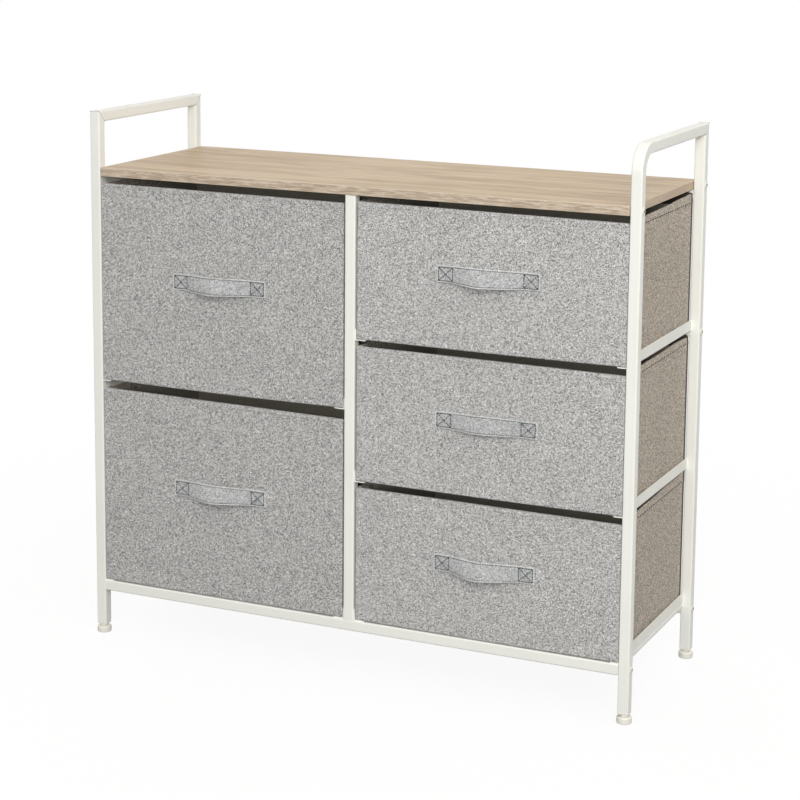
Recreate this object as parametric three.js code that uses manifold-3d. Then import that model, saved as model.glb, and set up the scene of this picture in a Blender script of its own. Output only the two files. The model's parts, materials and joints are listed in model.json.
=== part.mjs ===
// Wide five-drawer fabric dresser on a white square-tube frame with a wood top.
// Millimetres, +Z up, +X to the viewer's right, front towards -Y.
// The origin is at the bottom centre of the whole piece, straps included.

import * as THREE from 'three';
import { mergeVertices } from 'three/addons/utils/BufferGeometryUtils.js';
import Module from 'manifold-3d';

const wasm = await Module();
wasm.setup();

// Overall size
const frameWidth = 800;
const frameDepth = 280;
const frameHeight = 750;

// Square tube of posts, rails and hand-hold bars
const tubeSize = 15;
const tubeWall = 1;
const tubeCorner = 2;
const tubeCornerSteps = 3;
const bendOuterRadius = 37;
const bendSteps = 9;

// Heights
const handleRise = 77.5;
const panelThickness = 12.5;
const panelCorner = 2.5;
const panelEdgeRound = 1.2;
const panelEdgeSteps = 3;
const panelEndGap = 0.5;
const bottomRailHeight = 64;
const restGap = 0.3;

// Flat tubes: the two that carry the lowest drawers at the sides, and the top back rail
const sideBarHeight = 7;
const topRailHeight = 7;

// Angle runners. The outer ones stand between the posts, a little outside the posts' inner faces
const runnerLeg = 15;
const runnerThickness = 1.5;
const runnerRecess = 3;
const runnerFrontInset = 2;
const runnerBackInset = 2;

// How far the middle back rail's centre is below the top short drawer's runner
const middleRailDrop = 1.6;

// Drawers
const drawerInnerGap = 0.75;
const drawerOuterGap = 0.5;
const drawerFrontInset = 1;
const drawerBackGap = 0.5;
const drawerCorner = 2.5;
const drawerInnerCorner = 1;
const drawerCornerSteps = 3;
const drawerBottomRound = 2;
const drawerBottomSteps = 2;
const drawerWall = 3;
const drawerFrontWall = 6;
const drawerFloor = 3;
const drawerRimDrop = 1.5;
const drawerRimRound = 3;
const drawerRimSteps = 4;
const shortDrawerCount = 3;
const shortDrawerSpacing = 10.2;
const shortDrawerHeadroom = 8.7;
const tallDrawerCount = 2;
const tallDrawerSpacing = 14;
const tallDrawerHeadroom = 10.3;
const boardThickness = 3;

// Strap handles
const strapLength = 143;
const strapWidth = 23;
const strapThickness = 1.6;
const strapPadLength = 22.5;
const strapSteps = 12;
const tautStrap = { bow: 6, sag: 0.5 };
const easyStrap = { bow: 8, sag: 1.5 };
const slackStrap = { bow: 9, sag: 4.5 };
const tallDrawerStrapDrop = 127.3;
const shortDrawerStrapDrop = 84.8;

// Levelling feet and the plugs that they screw into
const footRadius = 10;
const footHeight = 9;
const footEdge = 1.5;
const footNeckRadius = 4.5;
const footNeckHeight = 3.5;
const footStemRadius = 3;
const footStemLength = 18;
const footSteps = 24;
const plugFlangeThickness = 1.2;
const plugFlangeInset = 0.3;
const plugDepth = 16;
const threadClearance = 0.08;

// Button-head bolts
const boltShaftRadius = 2.9;
const boltHeadRadius = 5;
const boltHeadHeight = 1.6;
const boltHeadCrownRadius = 3.4;
const boltLength = 30;
const boltSocketRadius = 1.9;
const boltSocketDepth = 1;
const boltSteps = 12;
const boltSocketSides = 6;
const boltHoleClearance = 0.25;
const nutBlockLength = 10;

// How far a cutting solid runs past what it cuts
const overrun = 5;

// Derived places. Front and back are the planes of the post faces
const longestBow = Math.max(tautStrap.bow, easyStrap.bow, slackStrap.bow);
const strapReach = restGap + longestBow + strapThickness - drawerFrontInset;
const footReach = footRadius - tubeSize / 2;
const frontY = -(frameDepth + footReach - strapReach) / 2;
const backY = frontY + frameDepth;
const outerX = frameWidth / 2;
const innerX = outerX - tubeSize;
const postX = outerX - tubeSize / 2;
const frontPostY = frontY + tubeSize / 2;
const backPostY = backY - tubeSize / 2;
const postBottomZ = footHeight + footNeckHeight + plugFlangeThickness;
const barCentreZ = frameHeight - tubeSize / 2;
const panelBottomZ = frameHeight - handleRise - panelThickness;
const panelCentreZ = panelBottomZ + panelThickness / 2;
const centrePostTopZ = panelBottomZ - restGap;
const bottomRailCentreZ = bottomRailHeight + tubeSize / 2;
const bottomRailTopZ = bottomRailHeight + tubeSize;
const topRailCentreZ = centrePostTopZ - topRailHeight / 2;
const topCrossbarCentreZ = centrePostTopZ - tubeSize / 2;
const backRailFrontY = backY - tubeSize;
const centreBackPostY = backRailFrontY - tubeSize / 2;
const boltHoleRadius = boltShaftRadius + boltHoleClearance;

// Drawer sizes follow the openings of the frame
const drawerSeat = runnerThickness + restGap;
const openingHeight = panelBottomZ - bottomRailTopZ;
const columnWidth = innerX - tubeSize / 2;
const columnCentreX = tubeSize / 2 + columnWidth / 2;
const drawerInnerInset = runnerThickness + drawerInnerGap;
const drawerWidth = columnWidth - drawerInnerInset - drawerOuterGap;
const drawerCentreX = innerX - drawerOuterGap - drawerWidth / 2;
const drawerDepth = frameDepth - tubeSize - drawerBackGap - drawerFrontInset;
const drawerFrontY = frontY + drawerFrontInset;

const columns = [
  {
    name: 'left',
    centreX: -columnCentreX,
    count: tallDrawerCount,
    spacing: tallDrawerSpacing,
    headroom: tallDrawerHeadroom,
    strapDrop: tallDrawerStrapDrop,
    levels: ['lower', 'upper'],
    straps: [easyStrap, easyStrap],
  },
  {
    name: 'right',
    centreX: columnCentreX,
    count: shortDrawerCount,
    spacing: shortDrawerSpacing,
    headroom: shortDrawerHeadroom,
    strapDrop: shortDrawerStrapDrop,
    levels: ['lower', 'middle', 'upper'],
    straps: [slackStrap, tautStrap, easyStrap],
  },
];

for (const column of columns) {
  const taken = drawerSeat + column.headroom + (column.count - 1) * column.spacing;
  column.drawerHeight = (openingHeight - taken) / column.count;
  const firstZ = bottomRailTopZ + drawerSeat;
  const step = column.drawerHeight + column.spacing;
  column.drawerZ = column.levels.map((level, index) => firstZ + index * step);
  column.runnerZ = column.drawerZ.map((drawerZ) => drawerZ - drawerSeat);
}

const middleRailCentreZ = columns[1].runnerZ.at(-1) - middleRailDrop;

// Materials
function material(color, roughness, metalness) {
  return new THREE.MeshStandardMaterial({ color, roughness, metalness, flatShading: true });
}

const looks = {
  steel: () => material('#eceae1', 0.45, 0.1),
  wood: () => material('#c8b296', 0.4, 0),
  fabric: () => material('#aeaeaa', 0.95, 0),
  webbing: () => material('#a9a9a6', 0.95, 0),
  board: () => material('#8f8f8b', 0.9, 0),
  plastic: () => material('#e6e3d8', 0.5, 0),
  bolt: () => material('#e6e4db', 0.4, 0.2),
};

// Solids

// Merges the corners of a geometry and turns it into a solid that can be cut.
function toSolid(geometry) {
  const bare = geometry.clone();
  bare.deleteAttribute('normal');
  bare.deleteAttribute('uv');
  const merged = mergeVertices(bare);
  return new wasm.Manifold(new wasm.Mesh({
    numProp: 3,
    vertProperties: new Float32Array(merged.attributes.position.array),
    triVerts: new Uint32Array(merged.index.array),
  }));
}

function fromSolid(solid) {
  const mesh = solid.getMesh();
  const geometry = new THREE.BufferGeometry();
  geometry.setAttribute('position', new THREE.BufferAttribute(mesh.vertProperties, mesh.numProp));
  geometry.setIndex(new THREE.BufferAttribute(mesh.triVerts, 1));
  geometry.computeVertexNormals();
  return geometry;
}

function cut(geometry, cutters) {
  const solid = cutters.reduce((rest, cutter) => rest.subtract(toSolid(cutter)), toSolid(geometry));
  return fromSolid(solid);
}

// Exact quarter turns. zToX takes Z to X, X to Y and Y to Z, and yToZ takes Y to Z and Z to -Y.
const zToX = new THREE.Matrix4().makeBasis(
  new THREE.Vector3(0, 1, 0),
  new THREE.Vector3(0, 0, 1),
  new THREE.Vector3(1, 0, 0),
);
const yToZ = new THREE.Matrix4().makeBasis(
  new THREE.Vector3(1, 0, 0),
  new THREE.Vector3(0, 0, 1),
  new THREE.Vector3(0, -1, 0),
);

function roundedRect(width, depth, radius) {
  const x = width / 2;
  const y = depth / 2;
  const shape = new THREE.Shape();
  shape.absarc(x - radius, y - radius, radius, 0, Math.PI / 2);
  shape.absarc(-x + radius, y - radius, radius, Math.PI / 2, Math.PI);
  shape.absarc(-x + radius, -y + radius, radius, Math.PI, Math.PI * 1.5);
  shape.absarc(x - radius, -y + radius, radius, Math.PI * 1.5, Math.PI * 2);
  return shape;
}

function extrude(shape, depth, curveSegments) {
  return new THREE.ExtrudeGeometry(shape, { depth, curveSegments, bevelEnabled: false });
}

// Solid round bar along Z, centred on the origin.
function rod(radius, length, steps) {
  return new THREE.CylinderGeometry(radius, radius, length, steps).applyMatrix4(yToZ);
}

// Solid of revolution about Z, from pairs of radius and height.
function turned(profile, steps) {
  const points = profile.map(([radius, height]) => new THREE.Vector2(radius, height));
  return new THREE.LatheGeometry(points, steps).applyMatrix4(yToZ);
}

function sectionPoints(width, height, radius) {
  return roundedRect(width, height, radius).extractPoints(tubeCornerSteps).shape;
}

function fromRings(positions, indices) {
  const geometry = new THREE.BufferGeometry();
  geometry.setAttribute('position', new THREE.Float32BufferAttribute(positions, 3));
  geometry.setIndex(indices);
  geometry.computeVertexNormals();
  return geometry;
}

// Hollow tube of the square section, open at both ends. Each frame of the route has an origin and
// the two directions, across and depth, in which the section is drawn there.
function sweptTube(route) {
  const outer = sectionPoints(tubeSize, tubeSize, tubeCorner);
  const hollow = tubeSize - 2 * tubeWall;
  const inner = sectionPoints(hollow, hollow, tubeCorner - tubeWall);
  const count = outer.length;
  const positions = [];
  const indices = [];
  for (const { origin, across, depth } of route) {
    for (const point of [...outer, ...inner]) {
      const corner = origin.clone().addScaledVector(across, point.x).addScaledVector(depth, point.y);
      positions.push(corner.x, corner.y, corner.z);
    }
  }
  const quad = (a, b, c, d) => indices.push(a, b, c, a, c, d);
  const ringSize = 2 * count;
  const last = (route.length - 1) * ringSize;
  for (let i = 0; i < count; i += 1) {
    const next = (i + 1) % count;
    for (let ring = 0; ring < last; ring += ringSize) {
      const above = ring + ringSize;
      quad(ring + i, ring + next, above + next, above + i);
      quad(ring + count + next, ring + count + i, above + count + i, above + count + next);
    }
    quad(next, i, count + i, count + next);
    quad(last + i, last + next, last + count + next, last + count + i);
  }
  return fromRings(positions, indices);
}

const right = new THREE.Vector3(1, 0, 0);
const frameAt = (y, z, depthY, depthZ) => ({
  origin: new THREE.Vector3(0, y, z),
  across: right,
  depth: new THREE.Vector3(0, depthY, depthZ),
});

// Frames of the side frame's loop, drawn in the plane x = 0. The inside of the loop is +depth.
const frontPostFoot = frameAt(frontPostY, postBottomZ, 1, 0);
const frontMitre = frameAt(frontPostY, barCentreZ, 1, -1);
const backMitre = frameAt(backPostY, barCentreZ, -1, -1);
const backPostFoot = frameAt(backPostY, postBottomZ, -1, 0);

// The right side frame's front corner is bent, not mitred.
function bendFrames() {
  const middleRadius = bendOuterRadius - tubeSize / 2;
  const centreY = frontY + bendOuterRadius;
  const centreZ = frameHeight - bendOuterRadius;
  const frames = [];
  for (let i = 0; i <= bendSteps; i += 1) {
    const angle = (i / bendSteps) * (Math.PI / 2);
    const y = centreY - middleRadius * Math.cos(angle);
    const z = centreZ + middleRadius * Math.sin(angle);
    frames.push(frameAt(y, z, Math.cos(angle), -Math.sin(angle)));
  }
  return frames;
}

// Round cutter along X, centred on x = 0.
function boltHole(y, z, length) {
  const hole = rod(boltHoleRadius, length, boltSteps).applyMatrix4(zToX);
  return hole.translate(0, y, z);
}

function postBoltHoles(y, heights) {
  return heights.map((z) => boltHole(y, z, tubeSize + overrun));
}

const frontBoltHeights = [bottomRailCentreZ, panelCentreZ];
const backBoltHeights = [bottomRailCentreZ, middleRailCentreZ, panelCentreZ];

// Hollow tube along +Z with square ends.
function straightTube(length, width, height) {
  const hollow = new THREE.Path();
  hollow.setFromPoints(
    sectionPoints(width - 2 * tubeWall, height - 2 * tubeWall, tubeCorner - tubeWall),
  );
  const shape = roundedRect(width, height, tubeCorner);
  shape.holes.push(hollow);
  return extrude(shape, length, tubeCornerSteps);
}

// Rail along X, centred, with a nut block in each end for the bolt that comes through the post.
function boltedRail() {
  const length = 2 * innerX;
  const hollow = tubeSize - 2 * tubeWall;
  const hollowLength = length - 2 * nutBlockLength;
  const bar = extrude(roundedRect(tubeSize, tubeSize, tubeCorner), length, tubeCornerSteps);
  const bore = extrude(
    roundedRect(hollow, hollow, tubeCorner - tubeWall), hollowLength, tubeCornerSteps,
  );
  bar.translate(0, 0, -length / 2).applyMatrix4(zToX);
  bore.translate(0, 0, -hollowLength / 2).applyMatrix4(zToX);
  const holes = [-1, 1].map((side) => (
    boltHole(0, 0, 2 * nutBlockLength + overrun).translate(side * innerX, 0, 0)
  ));
  return cut(bar, [bore, ...holes]);
}

function panelGeometry() {
  const width = 2 * (innerX - panelEndGap);
  const outline = roundedRect(
    width - 2 * panelEdgeRound, frameDepth - 2 * panelEdgeRound, panelCorner - panelEdgeRound,
  );
  const slab = new THREE.ExtrudeGeometry(outline, {
    depth: panelThickness - 2 * panelEdgeRound,
    curveSegments: panelEdgeSteps,
    bevelThickness: panelEdgeRound,
    bevelSize: panelEdgeRound,
    bevelSegments: panelEdgeSteps,
  });
  slab.translate(0, 0, panelEdgeRound - panelThickness / 2);
  const screwDepth = boltLength - tubeSize + overrun;
  const holes = [];
  for (const side of [-1, 1]) {
    for (const end of [-1, 1]) {
      const hole = boltHole(end * (frameDepth / 2 - tubeSize / 2), 0, 2 * screwDepth);
      holes.push(hole.translate((side * width) / 2, 0, 0));
    }
  }
  return cut(slab, holes);
}

// Angle along -Y from the origin. Its upright leg is against x = 0, and its flange reaches from
// there towards +X or -X at the bottom.
function angleGeometry(side, length) {
  const radius = runnerThickness;
  const shape = new THREE.Shape();
  shape.moveTo(0, runnerLeg);
  shape.lineTo(0, radius);
  shape.absarc(side * radius, radius, radius, side > 0 ? Math.PI : 0, Math.PI * 1.5, side < 0);
  shape.lineTo(side * runnerLeg, 0);
  shape.lineTo(side * runnerLeg, runnerThickness);
  shape.lineTo(side * runnerThickness, runnerThickness);
  shape.lineTo(side * runnerThickness, runnerLeg);
  return extrude(shape, length, tubeCornerSteps).applyMatrix4(yToZ);
}

// Runner at the centre posts, whose side faces are at x = 0. Here and in the next function, y is
// measured from the posts' front faces.
function innerRunnerGeometry(side, backEnd) {
  return angleGeometry(side, backEnd - runnerFrontInset).translate(0, backEnd, 0);
}

// Runner at a side frame, whose inner face is at x = 0. It is notched round the posts, so that
// its upright leg stands between them.
function outerRunnerGeometry(side, backEnd) {
  const angle = innerRunnerGeometry(side, backEnd).translate(-side * runnerRecess, 0, 0);
  const width = runnerRecess + overrun;
  const depth = tubeSize + overrun;
  const height = runnerLeg + 2 * overrun;
  const notches = [tubeSize - depth / 2, frameDepth - tubeSize + depth / 2].map((y) => (
    new THREE.BoxGeometry(width, depth, height).translate((-side * width) / 2, y, runnerLeg / 2)
  ));
  return cut(angle, notches);
}

// Fabric box, open at the top. Its front wall is thicker and its rim there a little higher.
// The origin is at the bottom, in the middle of the front face.
function drawerShellGeometry(height) {
  const outline = roundedRect(
    drawerWidth - 2 * drawerBottomRound,
    drawerDepth - 2 * drawerBottomRound,
    drawerCorner - drawerBottomRound,
  );
  const block = new THREE.ExtrudeGeometry(outline, {
    depth: height,
    curveSegments: drawerCornerSteps,
    bevelThickness: drawerBottomRound,
    bevelSize: drawerBottomRound,
    bevelSegments: drawerBottomSteps,
  });
  block.translate(0, drawerDepth / 2, drawerBottomRound);

  const cavityDepth = drawerDepth - drawerFrontWall - drawerWall;
  const cavity = extrude(
    roundedRect(drawerWidth - 2 * drawerWall, cavityDepth, drawerInnerCorner),
    height + overrun,
    drawerCornerSteps,
  );
  cavity.translate(0, drawerFrontWall + cavityDepth / 2, drawerFloor);

  // Everything above the rim line, seen from the side
  const rimZ = height - drawerRimDrop;
  const aboveZ = height + drawerBottomRound + overrun;
  const rim = new THREE.Shape();
  rim.moveTo(-overrun, height);
  rim.lineTo(drawerFrontWall, height);
  rim.lineTo(drawerFrontWall, rimZ);
  rim.absarc(drawerDepth - drawerRimRound, rimZ - drawerRimRound, drawerRimRound, Math.PI / 2, 0, true);
  rim.lineTo(drawerDepth + overrun, rimZ - drawerRimRound);
  rim.lineTo(drawerDepth + overrun, aboveZ);
  rim.lineTo(-overrun, aboveZ);
  const lidLength = drawerWidth + 2 * overrun;
  const lid = extrude(rim, lidLength, drawerRimSteps);
  lid.applyMatrix4(zToX).translate(-lidLength / 2, 0, 0);
  return cut(block, [cavity, lid]);
}

function boardGeometry() {
  const width = drawerWidth - 2 * (drawerWall + restGap);
  const depth = drawerDepth - drawerFrontWall - drawerWall - 2 * restGap;
  const shape = roundedRect(width, depth, drawerInnerCorner);
  return extrude(shape, boardThickness, drawerCornerSteps);
}

// Flat webbing, sewn down at both ends and standing off the drawer between them.
// The origin is at the middle of the strap on the drawer's front face.
function strapGeometry({ bow, sag }) {
  const half = strapLength / 2;
  const loose = half - strapPadLength;
  const stations = [{ x: -half, lift: 0 }];
  for (let i = 0; i <= strapSteps; i += 1) {
    const travel = i / strapSteps;
    const lift = (1 - Math.cos(2 * Math.PI * travel)) / 2;
    stations.push({ x: -loose + 2 * loose * travel, lift });
  }
  stations.push({ x: half, lift: 0 });
  const positions = [];
  const indices = [];
  for (const { x, lift } of stations) {
    const near = -restGap - bow * lift;
    const far = near - strapThickness;
    const low = -strapWidth / 2 - sag * lift;
    const high = strapWidth / 2 - sag * lift;
    positions.push(x, near, low, x, near, high, x, far, high, x, far, low);
  }
  const quad = (a, b, c, d) => indices.push(a, b, c, a, c, d);
  const last = (stations.length - 1) * 4;
  for (let ring = 0; ring < last; ring += 4) {
    for (let i = 0; i < 4; i += 1) {
      const next = (i + 1) % 4;
      quad(ring + i, ring + next, ring + 4 + next, ring + 4 + i);
    }
  }
  quad(3, 2, 1, 0);
  quad(last, last + 1, last + 2, last + 3);
  return fromRings(positions, indices);
}

// Pad, neck and stem of a levelling foot, standing on the origin.
function footGeometry() {
  const neckTop = footHeight + footNeckHeight;
  return turned([
    [0, 0],
    [footRadius - footEdge, 0],
    [footRadius, footEdge],
    [footRadius, footHeight - footEdge],
    [footRadius - footEdge, footHeight],
    [footNeckRadius, footHeight],
    [footNeckRadius, neckTop - restGap],
    [footStemRadius, neckTop - restGap],
    [footStemRadius, neckTop + footStemLength],
    [0, neckTop + footStemLength],
  ], footSteps);
}

// Plug in the open end of a post, with a flange under the tube and a hole for the foot's stem.
function plugGeometry() {
  const flangeSize = tubeSize - 2 * plugFlangeInset;
  const bodySize = tubeSize - 2 * (tubeWall + restGap);
  const flange = extrude(
    roundedRect(flangeSize, flangeSize, tubeCorner), plugFlangeThickness, tubeCornerSteps,
  );
  const body = extrude(
    roundedRect(bodySize, bodySize, tubeCorner - tubeWall),
    plugDepth + plugFlangeThickness,
    tubeCornerSteps,
  );
  const holeLength = plugDepth + plugFlangeThickness + 2 * overrun;
  const hole = rod(footStemRadius + threadClearance, holeLength, footSteps);
  hole.translate(0, 0, holeLength / 2 - overrun);
  return cut(fromSolid(toSolid(flange).add(toSolid(body))), [hole]);
}

// Bolt along +X. The underside of its head is at x = 0.
function boltGeometry() {
  const bolt = turned([
    [0, -boltHeadHeight],
    [boltHeadCrownRadius, -boltHeadHeight],
    [boltHeadRadius, -boltHeadHeight / 2],
    [boltHeadRadius, 0],
    [boltShaftRadius, 0],
    [boltShaftRadius, boltLength],
    [0, boltLength],
  ], boltSteps);
  const socket = rod(boltSocketRadius, 2 * boltSocketDepth, boltSocketSides);
  socket.translate(0, 0, -boltHeadHeight);
  return cut(bolt, [socket]).applyMatrix4(zToX);
}

// Assembly
const dresser = new THREE.Group();

function place(parent, name, geometry, look, x = 0, y = 0, z = 0) {
  const mesh = new THREE.Mesh(geometry, look());
  mesh.name = name;
  mesh.position.set(x, y, z);
  parent.add(mesh);
  return mesh;
}

// Side frames
function leftSideFrame() {
  const side = new THREE.Group();
  side.position.x = -postX;
  const frontPost = sweptTube([frontPostFoot, frontMitre]);
  const backPost = sweptTube([backMitre, backPostFoot]);
  const frontHoles = postBoltHoles(frontPostY, frontBoltHeights);
  const backHoles = postBoltHoles(backPostY, backBoltHeights);
  place(side, 'left_front_post', cut(frontPost, frontHoles), looks.steel);
  place(side, 'left_back_post', cut(backPost, backHoles), looks.steel);
  place(side, 'left_handle_bar', sweptTube([frontMitre, backMitre]), looks.steel);
  const crossbarLength = frameDepth - 2 * tubeSize;
  const crossbars = [
    ['left_middle_crossbar', columns[0].runnerZ.at(-1) - tubeSize / 2],
    ['left_top_crossbar', topCrossbarCentreZ],
  ];
  for (const [name, z] of crossbars) {
    const tube = straightTube(crossbarLength, tubeSize, tubeSize).applyMatrix4(yToZ);
    place(side, name, tube, looks.steel, 0, backRailFrontY, z);
  }
  return side;
}

function rightSideFrame() {
  const side = new THREE.Group();
  side.position.x = postX;
  const bentTube = sweptTube([frontPostFoot, ...bendFrames(), backMitre]);
  const backPost = sweptTube([backMitre, backPostFoot]);
  const frontHoles = postBoltHoles(frontPostY, frontBoltHeights);
  const backHoles = postBoltHoles(backPostY, backBoltHeights);
  const bent = cut(bentTube, frontHoles);
  place(side, 'right_front_post_and_handle_bar', bent, looks.steel);
  place(side, 'right_back_post', cut(backPost, backHoles), looks.steel);
  return side;
}

dresser.add(leftSideFrame(), rightSideFrame());

// Centre posts
const frontCentreLength = centrePostTopZ - bottomRailTopZ;
const backCentreLength = centrePostTopZ - bottomRailHeight;
const frontCentrePost = straightTube(frontCentreLength, tubeSize, tubeSize);
const backCentrePost = straightTube(backCentreLength, tubeSize, tubeSize);
place(dresser, 'centre_front_post', frontCentrePost, looks.steel, 0, frontPostY, bottomRailTopZ);
place(dresser, 'centre_back_post', backCentrePost, looks.steel, 0, centreBackPostY, bottomRailHeight);

// Rails from side to side
place(dresser, 'bottom_front_rail', boltedRail(), looks.steel, 0, frontPostY, bottomRailCentreZ);
place(dresser, 'bottom_back_rail', boltedRail(), looks.steel, 0, backPostY, bottomRailCentreZ);
place(dresser, 'middle_back_rail', boltedRail(), looks.steel, 0, backPostY, middleRailCentreZ);
const topRail = straightTube(2 * innerX, tubeSize, topRailHeight).applyMatrix4(zToX);
place(dresser, 'top_back_rail', topRail, looks.steel, -innerX, backPostY, topRailCentreZ);

// Flat tubes from the bottom front rail to the bottom back rail, flush with the runners on them
for (const [name, side] of [['left', -1], ['right', 1]]) {
  const length = frameDepth - 2 * tubeSize;
  const bar = straightTube(length, tubeSize, sideBarHeight).applyMatrix4(yToZ);
  const x = side * (innerX + runnerRecess - tubeSize / 2);
  const z = bottomRailTopZ - sideBarHeight / 2;
  place(dresser, `${name}_bottom_side_bar`, bar, looks.steel, x, backRailFrontY, z);
}

// Wood top
const panelY = frontY + frameDepth / 2;
place(dresser, 'top_panel', panelGeometry(), looks.wood, 0, panelY, panelCentreZ);

// Runners, drawers, boards and straps. An outer runner stops at the middle back rail where that
// is in its way.
const railReach = frameDepth - tubeSize;

function outerRunnerEnd(z) {
  const underRail = z + runnerLeg <= middleRailCentreZ - tubeSize / 2;
  return underRail ? frameDepth - runnerBackInset : railReach;
}

for (const column of columns) {
  column.levels.forEach((level, index) => {
    const name = `${column.name}_${level}`;
    const z = column.drawerZ[index];
    const runnerZ = column.runnerZ[index];
    for (const side of [-1, 1]) {
      const outer = side === Math.sign(column.centreX);
      const runner = outer
        ? outerRunnerGeometry(-side, outerRunnerEnd(runnerZ))
        : innerRunnerGeometry(-side, railReach);
      const runnerName = `${name}_${outer ? 'outer' : 'inner'}_runner`;
      const x = column.centreX + (side * columnWidth) / 2;
      place(dresser, runnerName, runner, looks.steel, x, frontY, runnerZ);
    }
    const drawer = new THREE.Group();
    drawer.position.set(Math.sign(column.centreX) * drawerCentreX, drawerFrontY, z);
    const height = column.drawerHeight;
    place(drawer, `${name}_drawer_box`, drawerShellGeometry(height), looks.fabric);
    const boardY = (drawerDepth + drawerFrontWall - drawerWall) / 2;
    const boardZ = drawerFloor + restGap;
    place(drawer, `${name}_drawer_base_board`, boardGeometry(), looks.board, 0, boardY, boardZ);
    const strapZ = height - column.strapDrop;
    const strap = strapGeometry(column.straps[index]);
    place(drawer, `${name}_drawer_strap`, strap, looks.webbing, 0, 0, strapZ);
    dresser.add(drawer);
  });
}

// Feet, plugs and bolts
for (const [sideName, side] of [['left', -1], ['right', 1]]) {
  const ends = [
    ['front', frontPostY, frontBoltHeights],
    ['back', backPostY, backBoltHeights],
  ];
  for (const [endName, y, boltHeights] of ends) {
    const corner = `${sideName}_${endName}`;
    const x = side * postX;
    const plugZ = footHeight + footNeckHeight;
    place(dresser, `${corner}_foot`, footGeometry(), looks.plastic, x, y, 0);
    place(dresser, `${corner}_post_plug`, plugGeometry(), looks.plastic, x, y, plugZ);
    const boltLevels = boltHeights.length > 2 ? ['bottom', 'middle', 'top'] : ['bottom', 'top'];
    boltLevels.forEach((level, index) => {
      const bolt = place(
        dresser, `${corner}_${level}_bolt`, boltGeometry(), looks.bolt,
        side * outerX, y, boltHeights[index],
      );
      bolt.rotation.z = side > 0 ? Math.PI : 0;
    });
  }
}

export default dresser;
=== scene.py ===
"""Five-drawer fabric dresser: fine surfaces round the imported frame, its light and its camera.

Metres, +Z up, +X to the viewer's right, front towards -Y, as in the frame.
"""

import json
import random
from collections import namedtuple
from math import cos, pi, radians, sin, sqrt

import bmesh
import bpy
from mathutils import Matrix, Vector, noise


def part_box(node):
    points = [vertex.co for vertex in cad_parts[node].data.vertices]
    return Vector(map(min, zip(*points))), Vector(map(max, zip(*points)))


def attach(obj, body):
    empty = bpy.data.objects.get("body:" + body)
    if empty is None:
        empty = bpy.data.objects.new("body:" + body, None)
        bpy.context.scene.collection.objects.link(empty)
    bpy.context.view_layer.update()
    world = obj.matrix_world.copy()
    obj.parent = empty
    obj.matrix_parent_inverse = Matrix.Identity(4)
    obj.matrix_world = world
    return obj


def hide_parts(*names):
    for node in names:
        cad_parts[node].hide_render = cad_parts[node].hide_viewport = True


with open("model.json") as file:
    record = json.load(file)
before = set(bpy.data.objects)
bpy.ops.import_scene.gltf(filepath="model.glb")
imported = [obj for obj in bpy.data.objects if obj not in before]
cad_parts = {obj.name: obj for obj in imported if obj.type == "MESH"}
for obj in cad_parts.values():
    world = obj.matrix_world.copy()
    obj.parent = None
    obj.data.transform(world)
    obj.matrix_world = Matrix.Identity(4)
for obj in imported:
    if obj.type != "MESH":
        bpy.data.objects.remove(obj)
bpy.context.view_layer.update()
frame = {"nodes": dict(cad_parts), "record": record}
nodes = frame["nodes"]
bodies = frame["record"]["behaviour"]["bodies"]
random.seed(7)

MM = 0.001

# Camera: focal length and centre in pixels of the photograph; yaw, pitch and roll in degrees
IMAGE_SIZE = 800
SENSOR_WIDTH = 36
FOCAL_PIXELS = 2152.3
CENTRE_PIXEL = (400, 240)
CAMERA_PLACE = Vector((1.2229, -2.6448, 1.0647))
CAMERA_TURNS = (24.634, 9.435, 0.506)

# Greatest angles, in degrees, between faces that are shaded as one
SMOOTH_ANGLE = 35
CLOTH_ANGLE = 50
BOARD_ANGLE = 60
STITCH_ANGLE = 80

# Frame, and the seams at its mitred corners
JOIN_DISTANCE = 0.002 * MM
MITRE_PROUD = 0.07 * MM
MITRE_HALF_WIDTH = 0.16 * MM

# Bolts
BOLT_STEPS = 36
BOLT_SHAFT_RADIUS = 2.9 * MM
BOLT_HEAD = 1.6 * MM
BOLT_DOME = 1.0 * MM
DOME_STEPS = 7
DOME_SHARE = 0.75
SOCKET_RADIUS = 2.1 * MM
SOCKET_DEPTH = 1.1 * MM
SOCKET_LIP = 0.12 * MM
LIP_WIDENING = 1.12

# Feet
FOOT_STEPS = 48
PAD_HEIGHT = 9 * MM
PAD_LOWER_ROUND = 1.4 * MM
PAD_UPPER_ROUND = 2.2 * MM
NECK_RADIUS = 4.5 * MM
NECK_FILLET = 0.8 * MM
NECK_TOP = 12.2 * MM
STEM_RADIUS = 3 * MM

# Drawer walls. The columns are those of the right, back, left and front walls
WEAVE_PITCH = 0.9 * MM
WALL = 3 * MM
FRONT_WALL = 6 * MM
CORNER_RADIUS = 2.5 * MM
INNER_CORNER = 1 * MM
CORNER_STEPS = 6
WALL_COLUMNS = (30, 44, 30, 44)
OUTER_ROW_HEIGHT = 9 * MM
INNER_ROW_HEIGHT = 24 * MM
BOTTOM_ROUND = 2 * MM
BOTTOM_ANGLES = (90, 60, 30, 0)
UNDER_INSET = 8 * MM
FRONT_REACH = 20 * MM

# Folded top edge. Its start and end are heights over its lower edge and below the rim, each with
# a share of how far it stands out
FRONT_HEM = 6.6 * MM
SIDE_HEM = 9.7 * MM
HEM_PROUD = 0.3 * MM
HEM_START = ((0.25 * MM, 0.7), (0.8 * MM, 1.0))
HEM_END = ((1.3 * MM, 1.0), (0.5 * MM, 0.3))
RIM_SHARES = (0.2, 0.5, 0.8)
RIM_ARCH = 0.35 * MM
RIM_RIPPLE = 0.3 * MM
RIM_WAVES = (11, 14)
SHOULDER_ROUND = 1 * MM
LINING_DROP = 0.8 * MM
FACING_HEIGHT = 18 * MM

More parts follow.
